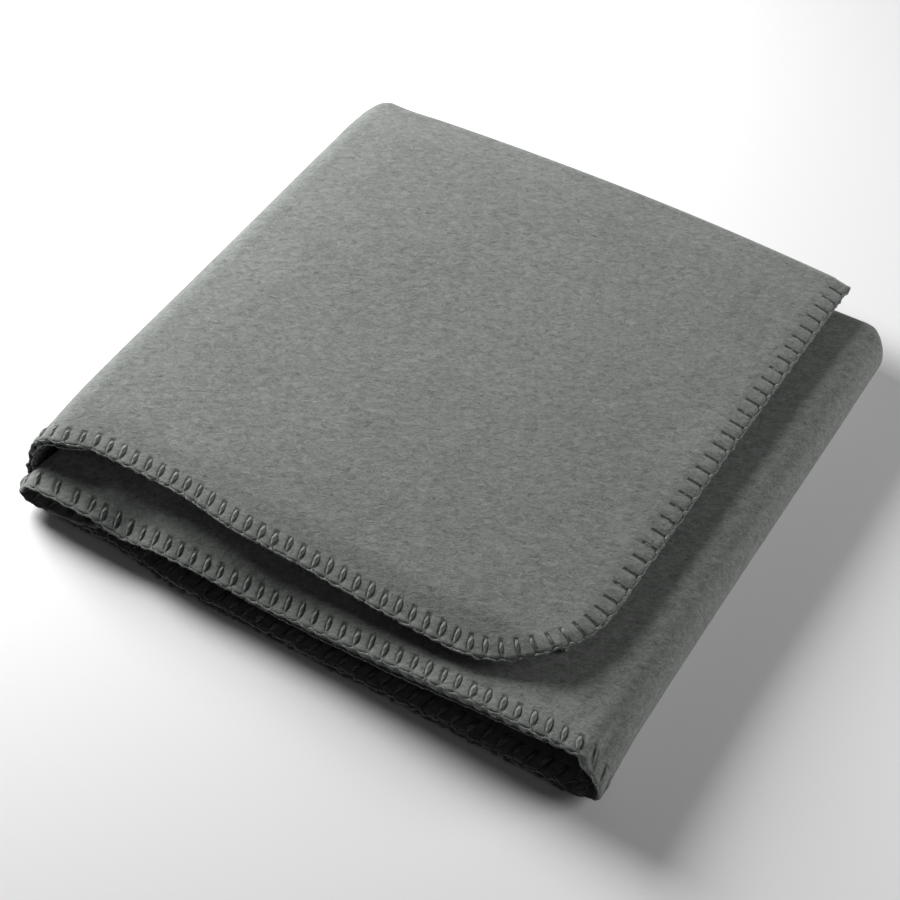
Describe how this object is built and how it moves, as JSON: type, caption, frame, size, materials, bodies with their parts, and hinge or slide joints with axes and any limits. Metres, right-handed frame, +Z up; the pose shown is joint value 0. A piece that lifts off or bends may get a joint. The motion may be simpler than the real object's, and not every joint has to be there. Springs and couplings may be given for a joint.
{
  "type": "folded throw blanket",
  "caption": "Plain fleece throw blanket with a whip-stitched yarn edge and rounded corners, folded into a flat square stack whose top third opens to the side.",
  "frame": {"origin": "middle of the underside, on the surface the folded throw lies on", "axes": "+X from the left fold to the right fold, +Y from the front hems to the back folds, +Z up through the stack"},
  "size_m": [0.4408, 0.4398, 0.0569],
  "materials": {
    "fleece": "brushed fleece, matt and mottled",
    "stitching_yarn": "soft spun yarn"
  },
  "bodies": {
    "lower_stack": {"middle_ply_1": "fleece", "middle_ply_2": "fleece", "middle_ply_3": "fleece", "middle_ply_4": "fleece", "middle_back_fold": "fleece", "middle_inner_fold": "fleece", "middle_front_loop": "fleece", "bottom_ply_1": "fleece", "bottom_ply_2": "fleece", "bottom_ply_3": "fleece", "bottom_ply_4": "fleece", "bottom_back_fold": "fleece", "bottom_inner_fold": "fleece", "bottom_front_loop": "fleece", "tuck_ply_1": "fleece", "tuck_ply_2": "fleece", "tuck_ply_3": "fleece", "tuck_ply_4": "fleece", "tuck_back_fold": "fleece", "tuck_inner_fold": "fleece", "tuck_front_loop": "fleece", "tuck_fold": "fleece", "left_fold_lower": "fleece", "right_fold_ply_1": "fleece", "right_fold_ply_2": "fleece", "right_fold_ply_3": "fleece", "right_fold_ply_4": "fleece", "right_fold_back_fold": "fleece", "right_fold_inner_fold": "fleece", "right_fold_front_loop": "fleece", "middle_stitches_1": "stitching_yarn", "middle_stitches_2": "stitching_yarn", "bottom_stitches_1": "stitching_yarn", "bottom_stitches_2": "stitching_yarn", "tuck_stitches_1": "stitching_yarn", "tuck_stitches_2": "stitching_yarn", "tuck_stitches_3": "stitching_yarn", "tuck_stitches_4": "stitching_yarn", "tuck_fold_stitches": "stitching_yarn", "right_fold_stitches_1": "stitching_yarn", "right_fold_stitches_2": "stitching_yarn"},
    "left_wall": {"left_wall": "fleece", "left_wall_stitches": "stitching_yarn", "left_fold_upper": "fleece"},
    "top_third": {"top_ply_1": "fleece", "top_ply_2": "fleece", "top_ply_3": "fleece", "top_ply_4": "fleece", "top_back_fold": "fleece", "top_inner_fold": "fleece", "top_front_loop": "fleece", "top_stitches_1": "stitching_yarn", "top_stitches_2": "stitching_yarn", "top_stitches_3": "stitching_yarn", "top_stitches_4": "stitching_yarn"}
  },
  "joints": [
    {"name": "lower_fold", "type": "hinge", "parent": "lower_stack", "child": "left_wall", "pos_m": [-0.2101, 0, 0.00991], "axis": [0, -1, 0], "range_deg": [0, 90], "deforming": ["left_fold_lower"]},
    {"name": "upper_fold", "type": "hinge", "parent": "left_wall", "child": "top_third", "pos_m": [-0.2101, 0, 0.0465], "axis": [0, -1, 0], "range_deg": [0, 90], "deforming": ["left_fold_upper"]}
  ],
  "couplings": [
    {"joint": "upper_fold", "follows": "lower_fold", "ratio": 1}
  ]
}
